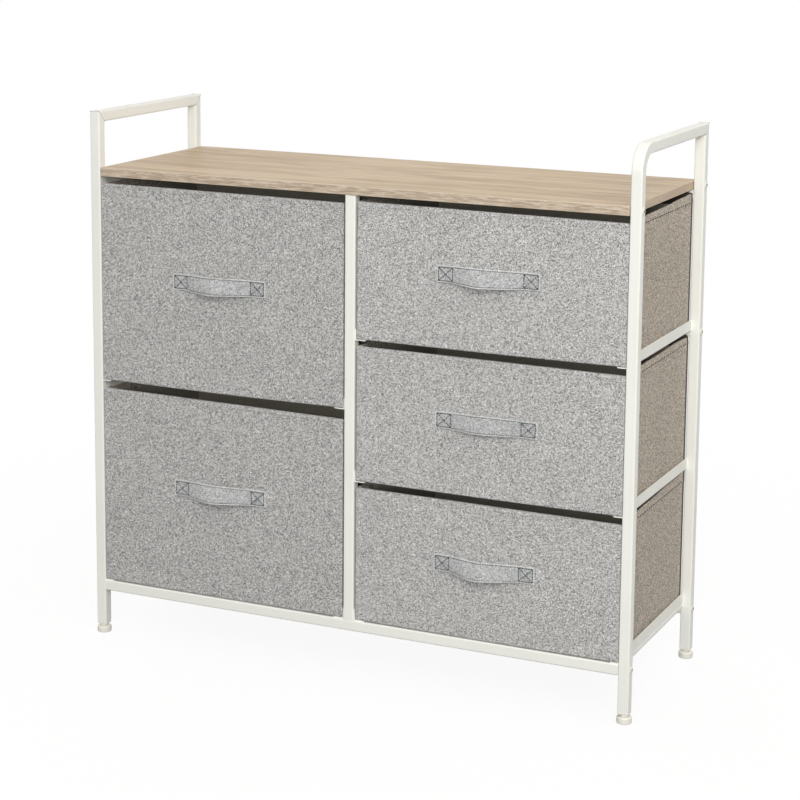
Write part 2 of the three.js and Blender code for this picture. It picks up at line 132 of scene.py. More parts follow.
# Binding of the back corners, dark as painted shade of the gap behind them
BINDING = 3.6 * MM
BINDING_PROUD = 0.2 * MM
BINDING_EDGE = 0.3 * MM

# Hollow, tucked and creased walls, and back corners that bulge between the rails
WALL_SAG = 0.9 * MM
FRONT_SAG_SHARE = 0.35
HOLLOW_START = 0.1
HOLLOW_SPAN = 0.85
SIDE_INSET = 0.5 * MM
SIDE_TUCK = 1.4 * MM
TUCK_HEIGHT = 30 * MM
CREASE = 0.25 * MM
CREASE_WAVES = (16, 41)
FRONT_CREASE_SHARE = 0.5
BACK_CORNER = 7 * MM
BACK_BULGE = 2.7 * MM
SIDE_BULGE = 0.2 * MM
BULGE_REACH = 12 * MM
BULGE_SPREAD = 30 * MM
RAIL_CLEARANCE = 1 * MM
RAIL_FADE = 6 * MM

# Base boards
BOARD_EDGE = 0.9 * MM
BOARD_INSET = 6 * MM
BOARD_EDGE_SHARE = 0.3

# Straps. The columns of each edge run from its groove round to the back
STRAP_PAD = 22.5 * MM
STRAP_STEPS = 72
STRAP_THICKNESS = 1.6 * MM
STRAP_SEAT = 0.3 * MM
STRAP_FLARE = 0.8 * MM
STRAP_PUFF = 0.25 * MM
STRAP_RIPPLE = 0.25 * MM
STRAP_WAVES = 60
STRAP_SAMPLE = 0.5 * MM
EDGE_ANGLES = (50, 0, -50)
FACE_SHARES = (-0.5, 0, 0.5)
BACK_SHARES = (1, 0.01, -1)
EDGE_COLUMNS = (0, 1, 8, 9, 10, 11, 12, 17, 18, 19)
BOW_PEAK = 0.4
RIDGE = 4
DROOP = 0.5
SEAM_INSET = 2.1 * MM
GROOVE = 0.6 * MM
GROOVE_HALF_WIDTH = 0.65 * MM

# Stitches: the thread's shares of length, swell and lift, and each kind's thread, stitch and gap
THREAD_SHAPE = ((0, 0.35, -0.9), (0.18, 0.9, 0), (0.5, 1, 0.3), (0.82, 0.9, 0), (1, 0.35, -0.9))
THREAD_SIDES = 6
HEM_LIFT = 1.4 * MM
FRONT_STITCHES = (0.28 * MM, 2.9 * MM, 1.5 * MM)
SIDE_STITCHES = (0.85 * MM, 5.0 * MM, 4.2 * MM)
BOX_STITCHES = (0.68 * MM, 3.2 * MM, 0.25 * MM)
SEAM_STITCHES = (0.68 * MM, 2.6 * MM, 0.5 * MM)
SEAM_STEPS = 48
SEAM_LIFT = 0.2 * MM
BOX_INSET = 2.6 * MM
BOX_END = 0.3 * MM
BOX_LIFT = 0.05 * MM

# Floor. The shadow on it fades out between two distances
FLOOR_BOUNCE = 0.2
FLOOR_GLOW = 0.92
FLOOR_REACH = 9
SHADOW_REACH = (0.6, 1.5)

# Light. Each lamp's azimuth and elevation in degrees, distance, size, power in watts and colour
SKY_COLOUR = (1.0, 0.97, 0.935, 1)
SKY_STRENGTH = 0.53
LAMP_AIM = Vector((0, 0, 0.4))
LAMPS = {
    "key": (34, 32, 4.5, 2.1, 85, (0.99, 1.0, 1.0)),
    "front_fill": (20, 12.8, 4.5, 0.45, 54, (0.99, 1.0, 1.0)),
    "right_fill": (78, 44, 2.3, 1.1, 5.5, (1.0, 0.95, 0.88)),
    "back_fill": (216, 12, 4.5, 2.0, 78, (1.0, 0.99, 0.97)),
}


def srgb(*values):
    """Linear colour from 0 to 255 screen values."""
    shares = [value / 255 for value in values]
    linear = [s / 12.92 if s <= 0.04045 else ((s + 0.055) / 1.055) ** 2.4 for s in shares]
    return (*linear, 1)


def scaled_colour(colour, factor, offset=0.0):
    """A colour made darker or paler, and still opaque."""
    return tuple(min(1, channel * factor + offset) for channel in colour[:3]) + (1,)


def up_by(height):
    return Vector((0, 0, height))


def add_object(name, data):
    made = bpy.data.objects.new(name, data)
    bpy.context.scene.collection.objects.link(made)
    return made


# Camera

def make_camera():
    data = bpy.data.cameras.new("camera")
    data.sensor_width = SENSOR_WIDTH
    data.lens = FOCAL_PIXELS * data.sensor_width / IMAGE_SIZE
    data.shift_x = (IMAGE_SIZE / 2 - CENTRE_PIXEL[0]) / IMAGE_SIZE
    data.shift_y = (CENTRE_PIXEL[1] - IMAGE_SIZE / 2) / IMAGE_SIZE
    camera = add_object("camera", data)
    yaw, pitch, roll = (radians(turn) for turn in CAMERA_TURNS)
    ahead = Vector((-sin(yaw) * cos(pitch), cos(yaw) * cos(pitch), -sin(pitch)))
    level = Vector((cos(yaw), sin(yaw), 0))
    upright = level.cross(ahead)
    right = level * cos(roll) + upright * sin(roll)
    up = upright * cos(roll) - level * sin(roll)
    turn = Matrix((right, up, -ahead)).transposed()
    camera.matrix_world = Matrix.Translation(CAMERA_PLACE) @ turn.to_4x4()
    bpy.context.scene.camera = camera


# Materials

class Nodes:
    """A tree of shader nodes that is built one node at a time."""

    def __init__(self, tree):
        self.tree = tree

    def put(self, socket, value):
        if isinstance(value, bpy.types.NodeSocket):
            self.tree.links.new(value, socket)
        else:
            socket.default_value = value

    def node(self, kind, inputs=(), **settings):
        """A new node. Its inputs go by name, or in their order when they come as a list."""
        made = self.tree.nodes.new("ShaderNode" + kind)
        for name, value in settings.items():
            setattr(made, name, value)
        if not isinstance(inputs, dict):
            inputs = dict(enumerate(inputs))
        for name, value in inputs.items():
            self.put(made.inputs[name], value)
        return made

    def math(self, operation, *values):
        return self.node("Math", values, operation=operation).outputs[0]

    def mix(self, share, first, second):
        """A colour between two. The node's colour sockets go by number."""
        colours = {0: share, 6: first, 7: second}
        return self.node("Mix", colours, data_type="RGBA").outputs[2]

    def spread(self, value, low, high, to_low=0.0, to_high=1.0):
        """Maps a value's range from low to high to another range."""
        made = self.node("MapRange", {
            "Value": value, "From Min": low, "From Max": high,
            "To Min": to_low, "To Max": to_high,
        })
        return made.outputs["Result"]

    def place(self, scale=(1, 1, 1)):
        """The object's own coordinates in metres, scaled."""
        coordinates = self.node("TexCoord").outputs["Object"]
        return self.node("Mapping", {"Vector": coordinates, "Scale": scale}).outputs["Vector"]

    def noise(self, scale, detail=2.0, roughness=0.5, distortion=0.0, stretch=(1, 1, 1)):
        made = self.node("TexNoise", {
            "Vector": self.place(stretch), "Scale": scale, "Detail": detail,
            "Roughness": roughness, "Distortion": distortion,
        })
        return made.outputs[0]

    def cells(self, size, warp, warp_scale):
        """A random value for each of many ragged cells of that size in metres."""
        swirl = self.node("TexNoise", {"Vector": self.place(), "Scale": warp_scale, "Detail": 1.0})
        push = self.node(
            "VectorMath", (swirl.outputs["Color"], (warp, warp, warp), self.place()),
            operation="MULTIPLY_ADD",
        )
        stretched = self.node("Mapping", {
            "Vector": push.outputs[0], "Scale": tuple(1 / length for length in size),
        })
        grains = self.node("TexVoronoi", {"Vector": stretched.outputs["Vector"], "Scale": 1.0})
        return self.node("SeparateColor", {"Color": grains.outputs["Color"]}).outputs["Red"]

    def bump(self, height, strength, distance, under=None):
        inputs = {"Height": height, "Strength": strength, "Distance": distance}
        if under is not None:
            inputs["Normal"] = under
        return self.node("Bump", inputs).outputs["Normal"]

    def seen_by_eye(self):
        """1 for camera, glossy and transmission rays."""
        path = self.node("LightPath")
        total = path.outputs["Is Camera Ray"]
        for name in ("Is Glossy Ray", "Is Transmission Ray"):
            total = self.math("MAXIMUM", total, path.outputs[name])
        return total


class Look(Nodes):
    """The nodes of a new material, which end in its one shader."""

    def __init__(self, name):
        self.material = bpy.data.materials.new(name)
        self.material.use_nodes = True
        super().__init__(self.material.node_tree)
        self.surface = self.tree.nodes["Principled BSDF"]

    def set(self, **inputs):
        for name, value in inputs.items():
            self.put(self.surface.inputs[name.replace("_", " ")], value)


def paint(name, colour, roughness=0.42):
    """Powder coat: even colour, a faint orange peel and slightly uneven gloss."""
    look = Look(name)
    cloud = look.noise(9, 3)
    smear = look.noise(60, 4)
    peel = look.noise(900)
    darker = scaled_colour(colour, 0.955)
    look.set(Base_Color=look.mix(look.spread(cloud, 0.3, 0.7), darker, colour))
    look.set(Roughness=look.spread(smear, 0.3, 0.7, roughness - 0.06, roughness + 0.07))
    look.set(Normal=look.bump(peel, 0.12, 0.1 * MM))
    return look.material


def laminate():
    """Light oak laminate: grain along X, or along Y at its ends, and arrises painted paler as a
    highlight.
    """
    look = Look("top_laminate")
    # Each pattern's scale, detail, roughness and distortion, and how it is drawn out
    figure = look.noise(4.5, 3, 0.55, 1.6, (0.8, 5, 5))
    streak = look.noise(8, 5, 0.65, 0.9, (0.5, 7.5, 7.5))
    fibre = look.noise(30, 4, 0.7, 0.1, (0.35, 18, 18))
    pore = look.noise(60, 2, 0.5, 0, (0.4, 14, 14))
    fleck = look.noise(90, 4, 0.75, 0.4, (0.4, 4, 4))
    brown = look.noise(36, 3, 0.6, 0.8, (0.35, 8, 8))
    cross = look.noise(12, 5, 0.6, 0.3, (10, 0.5, 10))
    # The top
    top = look.mix(look.spread(figure, 0.36, 0.62), srgb(177, 149, 114), srgb(206, 183, 150))
    top = look.mix(look.spread(streak, 0.46, 0.64, 0, 0.55), top, srgb(158, 131, 99))
    top = look.mix(look.spread(fibre, 0.46, 0.68, 0, 0.4), top, srgb(226, 205, 176))
    top = look.mix(look.spread(pore, 0.58, 0.72, 0, 0.4), top, srgb(146, 123, 95))
    # The front and back edges, and the ends
    front = look.mix(look.spread(fleck, 0.42, 0.6), srgb(172, 153, 132), srgb(212, 197, 177))
    front = look.mix(look.spread(brown, 0.56, 0.66, 0, 0.35), front, srgb(152, 131, 108))
    end = look.mix(look.spread(cross, 0.36, 0.64), srgb(180, 157, 132), srgb(202, 180, 154))
    # Which face is which, from its normal
    normal = look.node("NewGeometry").outputs["True Normal"]
    facing = look.node("SeparateXYZ", {"Vector": normal})
    upward = look.math("ABSOLUTE", facing.outputs["Z"])
    sideways = look.math("ABSOLUTE", facing.outputs["X"])
    edges = look.mix(look.spread(sideways, 0.6, 0.8), front, end)
    # The rounded edges between top and sides are painted paler: a painted highlight.
    arris_painted_highlight = look.mix(look.spread(upward, 0.1, 0.25, 0, 0.7), edges, srgb(216, 203, 182))
    look.set(Base_Color=look.mix(look.spread(upward, 0.75, 0.9), arris_painted_highlight, top))
    look.set(Roughness=look.spread(fibre, 0.3, 0.7, 0.36, 0.46), Specular_IOR_Level=0.25)
    look.set(Normal=look.bump(pore, 0.18, 0.15 * MM))
    return look.material


def fabric(name, dark, light, cloudiness=0.02, stretch=1.0):
    """Heather cloth: short light and dark yarns, across and upright, in a plain weave."""
    look = Look(name)
    short, long = 0.7 * MM * stretch, 1.4 * MM * stretch
    weft = look.cells((long, long, short), 0.6 * MM, 1300)
    warp = look.cells((short, short, long), 0.6 * MM, 1200)
    over = look.spread(look.noise(640, 1), 0.44, 0.56)
    yarns = look.mix(look.mix(over, weft, warp), dark, light)
    cloudy = look.spread(look.noise(20, 3), 0.3, 0.7, 1 - cloudiness, 1 + cloudiness)
    tinted = look.node("VectorMath", {0: yarns, "Scale": cloudy}, operation="SCALE")
    look.set(Base_Color=tinted.outputs[0])
    look.set(Roughness=0.92, Sheen_Weight=0.12, Sheen_Roughness=0.5)
    # A fine plain weave, with the yarns raised over it
    axes = look.node("SeparateXYZ", {"Vector": look.place()})
    turn = 2 * pi / WEAVE_PITCH
    level = look.math("ADD", axes.outputs["X"], axes.outputs["Y"])
    across = look.math("SINE", look.math("MULTIPLY", level, turn))
    upright = look.math("SINE", look.math("MULTIPLY", axes.outputs["Z"], turn))
    woven = look.bump(look.math("MULTIPLY", across, upright), 0.35, 0.12 * MM)
    look.set(Normal=look.bump(look.math("ADD", weft, warp), 0.25, 0.2 * MM, woven))
    return look.material


def lining(name, colour):
    """Non-woven cloth with pressed dots."""
    look = Look(name)
    fibre = look.noise(700, 4, 0.7, 0.5)
    paler = scaled_colour(colour, 1.5, 0.004)
    look.set(Base_Color=look.mix(look.spread(fibre, 0.35, 0.65), colour, paler))
    look.set(Roughness=0.95, Sheen_Weight=0.1)
    dots = look.node("TexVoronoi", {
        "Vector": look.place(), "Scale": 750, "Randomness": 0.1,
    })
    look.set(Normal=look.bump(dots.outputs["Distance"], 0.3, 0.2 * MM))
    return look.material


def thread(name, colour):
    """Twisted sewing thread."""
    look = Look(name)
    twist = look.noise(1400)
    darker = scaled_colour(colour, 0.7)
    look.set(Base_Color=look.mix(look.spread(twist, 0.35, 0.65), darker, colour))
    look.set(Roughness=0.7, Sheen_Weight=0.1)
    look.set(Normal=look.bump(twist, 0.4, 0.1 * MM))
    return look.material


def plastic(name, colour, roughness):
    """Moulded plastic with a fine moulding grain and scuffs."""
    look = Look(name)
    scuff = look.noise(240, 5, 0.7)
    darker = scaled_colour(colour, 0.9)
    look.set(Base_Color=look.mix(look.spread(scuff, 0.25, 0.55), darker, colour))
    look.set(Roughness=look.spread(scuff, 0.3, 0.7, roughness + 0.1, roughness - 0.05))
    look.set(Normal=look.bump(look.noise(2200, 1), 0.08, 0.05 * MM))
    return look.material


PAINT = paint("frame_paint", srgb(242, 242, 235))
BOLT_PAINT = paint("bolt_paint", srgb(232, 229, 218), 0.34)
# Darker paint for the mitre seams: painted shade of the hairline groove.
MITRE_SEAM_SHADE = paint("weld_seam_painted_shade", srgb(150, 146, 134), 0.6)
LAMINATE = laminate()
# The drawers' one cloth as two copies: darker on the left as painted shade, paler on the right as
# painted light.
LEFT_FABRIC_PAINTED_SHADE = fabric("left_drawer_fabric_painted_shade", srgb(54, 54, 54), srgb(236, 235, 233))
RIGHT_FABRIC_PAINTED_LIGHT = fabric("right_drawer_fabric_painted_light", srgb(70, 69, 69), srgb(240, 239, 237))
# Darker, browner copy of the cloth for the side walls: painted shade.
SIDE_FABRIC_PAINTED_SHADE = fabric("side_fabric_painted_shade", srgb(32, 27, 20), srgb(240, 226, 207), 0.03, 1.2)
WEBBING = fabric("strap_fabric", srgb(104, 106, 107), srgb(226, 227, 227))
# Paler cloth for the strap's edges, and on its ends as a painted highlight on the folds.
STRAP_EDGE_AND_HIGHLIGHT = fabric("strap_edge_and_highlight_fabric", srgb(160, 161, 160), srgb(240, 240, 238))
LINING = lining("drawer_lining", srgb(156, 149, 137))
BACK_CLOTH = lining("back_cloth", srgb(104, 97, 86))
# Dark binding of the back corners and the back's top edge: painted shade.
BINDING_PAINTED_SHADE = lining("edge_binding_painted_shade", srgb(62, 54, 43))
BOARD = lining("board_cloth", srgb(92, 90, 86))
DARK_THREAD = thread("strap_thread", srgb(66, 70, 72))
HEM_THREAD = thread("hem_thread", srgb(56, 49, 41))
FRONT_HEM_THREAD = thread("front_hem_thread", srgb(140, 138, 133))
FOOT_PLASTIC = plastic("foot_plastic", srgb(238, 235, 224), 0.42)
SOCKET = plastic("bolt_socket", srgb(52, 50, 46), 0.5)


# Mesh helpers

def mesh_object(name, bm, materials):
    mesh = bpy.data.meshes.new(name)
    bm.to_mesh(mesh)
    bm.free()
    for material in materials:
        mesh.materials.append(material)
    return add_object(name, mesh)


def new_piece(name, bm, materials, body, smooth_angle=SMOOTH_ANGLE):
    """Turns a bmesh into a smooth-shaded object that rides on a body."""
    limit = radians(smooth_angle)
    bm.normal_update()
    for edge in bm.edges:
        faces = edge.link_faces
        edge.smooth = len(faces) == 2 and edge.calc_face_angle(0) < limit
    for face in bm.faces:
        face.smooth = True
    piece = mesh_object(name, bm, materials)
    piece.modifiers.new("face_weighted", "WEIGHTED_NORMAL").keep_sharp = True
    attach(piece, body)
    return piece


def skin(bm, rings, material=lambda row, column: 0, flip=False):
    """Joins closed rings of points into faces, each with the material of its row and column."""
    rows = [[bm.verts.new(point) for point in ring] for ring in rings]
    count = len(rows[0])
    for row, (lower, upper) in enumerate(zip(rows, rows[1:])):
        for i in range(count):
            following = (i + 1) % count
            corners = [lower[i], lower[following], upper[following], upper[i]]
            if flip:
                corners.reverse()
            bm.faces.new(corners).material_index = material(row, i)
    return rows


def cap(bm, ring, material=0, flip=False):
    """One face over a ring."""
    face = bm.faces.new(list(reversed(ring)) if flip else ring)
    face.material_index = material


def closed_skin(bm, rings, first=0, last=0, **looks):
    """A skin with a cap at each end, each of its own material."""
    rows = skin(bm, rings, **looks)
    cap(bm, rows[0], first, flip=True)
    cap(bm, rows[-1], last)
    bmesh.ops.recalc_face_normals(bm, faces=bm.faces)


def circle(radius, steps):
    """Points round a circle, as pairs."""
    angles = [2 * pi * i / steps for i in range(steps)]
    return [(radius * cos(angle), radius * sin(angle)) for angle in angles]


def lathe(bm, profile, place, steps):
    """Solid from pairs of radius and height that start and end on its axis."""
    rows = skin(bm, [
        [place(u, v, height) for u, v in circle(radius, steps)] for radius, height in profile[1:-1]
    ])
    cap(bm, rows[0], flip=True)
    cap(bm, rows[-1])
    return rows


def arc_profile(across, up, radius, start, end, steps):
    """Points of an arc round a centre, its angles in degrees from outwards."""
    angles = [radians(start + (end - start) * i / steps) for i in range(steps + 1)]
    return [(across + radius * cos(angle), up + radius * sin(angle)) for angle in angles]


# Frame nodes: their solids stay, with smooth shading on the rounded edges

def smooth_shading_group():
    """Geometry nodes that join the corners of a solid and shade it smooth up to an angle."""
    group = bpy.data.node_groups.new("smooth_rounded_edges", "GeometryNodeTree")
    for direction in ("INPUT", "OUTPUT"):
        group.interface.new_socket("Mesh", in_out=direction, socket_type="NodeSocketGeometry")
    chain = [group.nodes.new(kind) for kind in (
        "NodeGroupInput", "GeometryNodeRemoveAttribute", "GeometryNodeMergeByDistance",
        "GeometryNodeSetShadeSmooth", "GeometryNodeSetShadeSmooth", "NodeGroupOutput",
    )]
    for before, after in zip(chain, chain[1:]):
        group.links.new(before.outputs[0], after.inputs[0])
    plain, join, _, edges = chain[1:-1]
    plain.inputs["Name"].default_value = "custom_normal"
    join.inputs["Distance"].default_value = JOIN_DISTANCE
    edges.domain = "EDGE"
    edges.inputs["Shade Smooth"].default_value = False
    angle = group.nodes.new("GeometryNodeInputMeshEdgeAngle")
    sharp = group.nodes.new("FunctionNodeCompare")
    sharp.operation = "GREATER_THAN"
    sharp.inputs[1].default_value = radians(SMOOTH_ANGLE)
    group.links.new(angle.outputs[0], sharp.inputs[0])
    group.links.new(sharp.outputs[0], edges.inputs["Selection"])
    return group


def dress_frame():
    """A material and smooth shading for each solid of the frame that shows."""
    smoothing = smooth_shading_group()
    for name in bodies["frame"]:
        if name.endswith("_bolt"):
            continue
        material = PAINT
        if name == "top_panel":
            material = LAMINATE
        elif name.endswith("_plug"):
            material = FOOT_PLASTIC
        node = nodes[name]
        node.data.materials.clear()
        node.data.materials.append(material)
        node.modifiers.new("smooth_rounded_edges", "NODES").node_group = smoothing
        node.modifiers.new("face_weighted", "WEIGHTED_NORMAL").keep_sharp = True


def make_mitre_seam(post, slope):
    """Weld line round the mitre at the top of a post, a hair proud of the tubes, darker as painted
    shade of the hairline groove.
    """
    low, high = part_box(post)
    depth = high.y - low.y
    width = high.x - low.x
    centre = Vector(((low.x + high.x) / 2, (low.y + high.y) / 2, high.z - depth / 2))
    along = Vector((0, slope, -1)).normalized()
    across = Vector((0, 1, slope)).normalized()
    half_x = width / 2 + MITRE_PROUD
    half_long = half_x * sqrt(2)
    corners = [
        centre + (Vector((u * half_x, 0, 0)) + along * (v * half_long))
        for u, v in ((-1, -1), (1, -1), (1, 1), (-1, 1))
    ]
    bm = bmesh.new()
    closed_skin(bm, [
        [corner + across * (side * MITRE_HALF_WIDTH) for corner in corners] for side in (-1, 1)
    ])
    new_piece(post.replace("_post", "_corner_weld"), bm, [MITRE_SEAM_SHADE], "frame")


# Bolts, feet

def bolt_profile(head_radius, length):
    """Radius and height of the shaft and the domed head, from the shaft's end."""
    shoulder = BOLT_HEAD - BOLT_DOME
    profile = [
        (0, -length), (BOLT_SHAFT_RADIUS, -length), (BOLT_SHAFT_RADIUS, 0),
        (head_radius, 0), (head_radius, shoulder),
    ]
    for i in range(1, DOME_STEPS):
        angle = pi / 2 * i / DOME_STEPS
        spread = (head_radius - SOCKET_RADIUS) * (1 - sin(angle) * DOME_SHARE)
        profile.append((SOCKET_RADIUS + spread, shoulder + BOLT_DOME * sin(angle)))
    return profile + [(SOCKET_RADIUS * LIP_WIDENING, BOLT_HEAD), (0, BOLT_HEAD)]


def cut_socket(bm, rim):
    """Opens a hexagonal socket in the flat top of a bolt's head."""
    top = max(bm.faces, key=lambda face: face.calc_center_median().x)
    bmesh.ops.delete(bm, geom=[top], context="FACES")
    hexagon = []
    for i in range(BOLT_STEPS):
        angle = 2 * pi * i / BOLT_STEPS
        sector = (angle % (pi / 3)) - pi / 6
        radius = SOCKET_RADIUS * cos(pi / 6) / cos(sector)
        across, up = radius * cos(angle), radius * sin(angle)
        hexagon.append(Vector((BOLT_HEAD - SOCKET_LIP, across, up)))
    edge = [bm.verts.new(point) for point in hexagon]
    floor = [bm.verts.new(point - Vector((SOCKET_DEPTH, 0, 0))) for point in hexagon]
    for i in range(BOLT_STEPS):
        j = (i + 1) % BOLT_STEPS
        bm.faces.new([rim[i], rim[j], edge[j], edge[i]])
        bm.faces.new([edge[i], edge[j], floor[j], floor[i]]).material_index = 1
    bm.faces.new(floor).material_index = 1
    bmesh.ops.recalc_face_normals(bm, faces=bm.faces)


def make_bolt(name):
    """Button head with a hex socket, and its shaft in the post."""
    low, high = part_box(name)
    on_right = low.x + high.x > 0
    outward = 1 if on_right else -1
    face_x, inner_x = (high.x, low.x) if on_right else (low.x, high.x)
    base_x = face_x - outward * BOLT_HEAD
    profile = bolt_profile((high.z - low.z) / 2, abs(base_x - inner_x))
    bm = bmesh.new()
    rows = lathe(bm, profile, lambda u, v, height: Vector((height, u, v)), BOLT_STEPS)
    cut_socket(bm, rows[-1])
    turn = Matrix.Rotation(0 if on_right else pi, 4, "Z")
    place = Matrix.Translation((base_x, (low.y + high.y) / 2, (low.z + high.z) / 2)) @ turn
    bmesh.ops.transform(bm, matrix=place, verts=bm.verts)
    bolt = new_piece(f"{name}_head", bm, [BOLT_PAINT, SOCKET], "frame")
    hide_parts(name)


def make_foot(corner):
    """Levelling pad with rounded edges, a neck and a stem."""
    name = f"{corner}_foot"
    low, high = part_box(name)
    centre = Vector(((low.x + high.x) / 2, (low.y + high.y) / 2, 0))
    radius = (high.x - low.x) / 2
    lower, upper = PAD_LOWER_ROUND, PAD_UPPER_ROUND
    profile = [(0, 0)]
    profile += arc_profile(radius - lower, lower, lower, -90, 0, 5)
    profile += arc_profile(radius - upper, PAD_HEIGHT - upper, upper, 0, 90, 7)
    profile += arc_profile(
        NECK_RADIUS + NECK_FILLET, PAD_HEIGHT + NECK_FILLET, NECK_FILLET, 270, 180, 4,
    )
    profile += [(NECK_RADIUS, NECK_TOP), (STEM_RADIUS, NECK_TOP)]
    profile += [(STEM_RADIUS, high.z), (0, high.z)]
    bm = bmesh.new()
    lathe(bm, profile, lambda u, v, height: centre + Vector((u, v, height)), FOOT_STEPS)
    foot = new_piece(f"{corner}_levelling_pad", bm, [FOOT_PLASTIC], name)
    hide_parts(name)


# Stitches

def add_stitch(bm, start, end, outward, radius, material):
    """One short thread that rises out of the cloth and dips back into it."""
    along = end - start
    side = along.cross(outward).normalized()
    rings = []
    for share, swell, lift in THREAD_SHAPE:
        centre = start + along * share + outward * (lift * radius)
        around = circle(radius * swell, THREAD_SIDES)
        rings.append([centre + side * u + outward * v for u, v in around])
    rows = skin(bm, rings, material=lambda row, column: material, flip=True)
    cap(bm, rows[0], material)
    cap(bm, rows[-1], material, flip=True)


def stitch_line(bm, points, outwards, sewing, material=0):
    """Stitches of a thread, length and gap along points with their outward directions."""
    radius, stitch, gap = sewing
    lengths = [0.0]
    for before, after in zip(points, points[1:]):
        lengths.append(lengths[-1] + (after - before).length)

    def spot(distance):
        after = 1
        while after < len(lengths) - 1 and lengths[after] < distance:
            after += 1
        before = after - 1
        share = (distance - lengths[before]) / (lengths[after] - lengths[before])
        outward = outwards[before].lerp(outwards[after], share)
        return points[before].lerp(points[after], share), outward.normalized()

    count = max(1, round((lengths[-1] + gap) / (stitch + gap)))
    step = (lengths[-1] + gap) / count
    for i in range(count):
        start, outward = spot(i * step)
        end, _ = spot(min(lengths[-1], i * step + step - gap))
        add_stitch(bm, start, end, outward, radius, material)


# Drawers

# The side walls take a darker, browner copy of the cloth, and the back corners a dark binding, both
# painted shade.
FRONT_CLOTH, INSIDE_CLOTH, SIDE_CLOTH_PAINTED_SHADE, BACK_PANEL, BOUND_EDGE_PAINTED_SHADE = range(5)

# Height of a side's top edge over the front's, in mm, at shares of the way to the back
LEVEL_RIM = ((0, 0), (0.1, -0.4), (0.5, -1.2), (0.85, 0.2), (1, 1))
RISING_RIM = ((0, 0), (0.1, -0.2), (0.5, 0.4), (0.85, 2.4), (1, 3.4))
BUMPED_RIM = ((0, 0), (0.1, -0.3), (0.5, -0.4), (0.8, 0.9), (1, -0.6))
CLOSING_RIM = ((0, 0), (0.4, 0.6), (0.75, 2.8), (0.92, 3.8), (1, 6.2))

# How the strap, the front's top edge, the front's bottom edge and the back's top edge are bent
Shape = namedtuple("Shape", "bow lean strap_sag left_tilt right_tilt bottom_sag back_rise")

# For each drawer: its shape in mm, and the top edge of its sides
DRAWERS = {
    "left_lower": ((9.5, 4.0, 1.5, 2.0, -1.8, 0.8, 3.5), LEVEL_RIM),
    "left_upper": ((10, 3.0, 1.5, 1.0, -1.0, 1.5, 3.5), LEVEL_RIM),
    "right_lower": ((9.5, 4.0, 4.5, 1.0, -1.0, 0.8, 6.4), CLOSING_RIM),
    "right_middle": ((5, 2.0, 0.5, 1.0, -1.0, 0.8, 3.6), BUMPED_RIM),
    "right_upper": ((8, 5.0, 1.5, 1.0, -1.0, 0.8, 5.3), RISING_RIM),
}


def smooth(share):
    """0 below 0, 1 above 1, and an even S between them."""
    share = min(1.0, max(0.0, share))
    return share * share * (3 - 2 * share)


def along_stations(stations, share):
    """Value at a share of the way through pairs of share and value, eased between them."""
    for (start, first), (end, second) in zip(stations, stations[1:]):
        if share <= end:
            return first + (second - first) * smooth((share - start) / (end - start))
    return stations[-1][1]


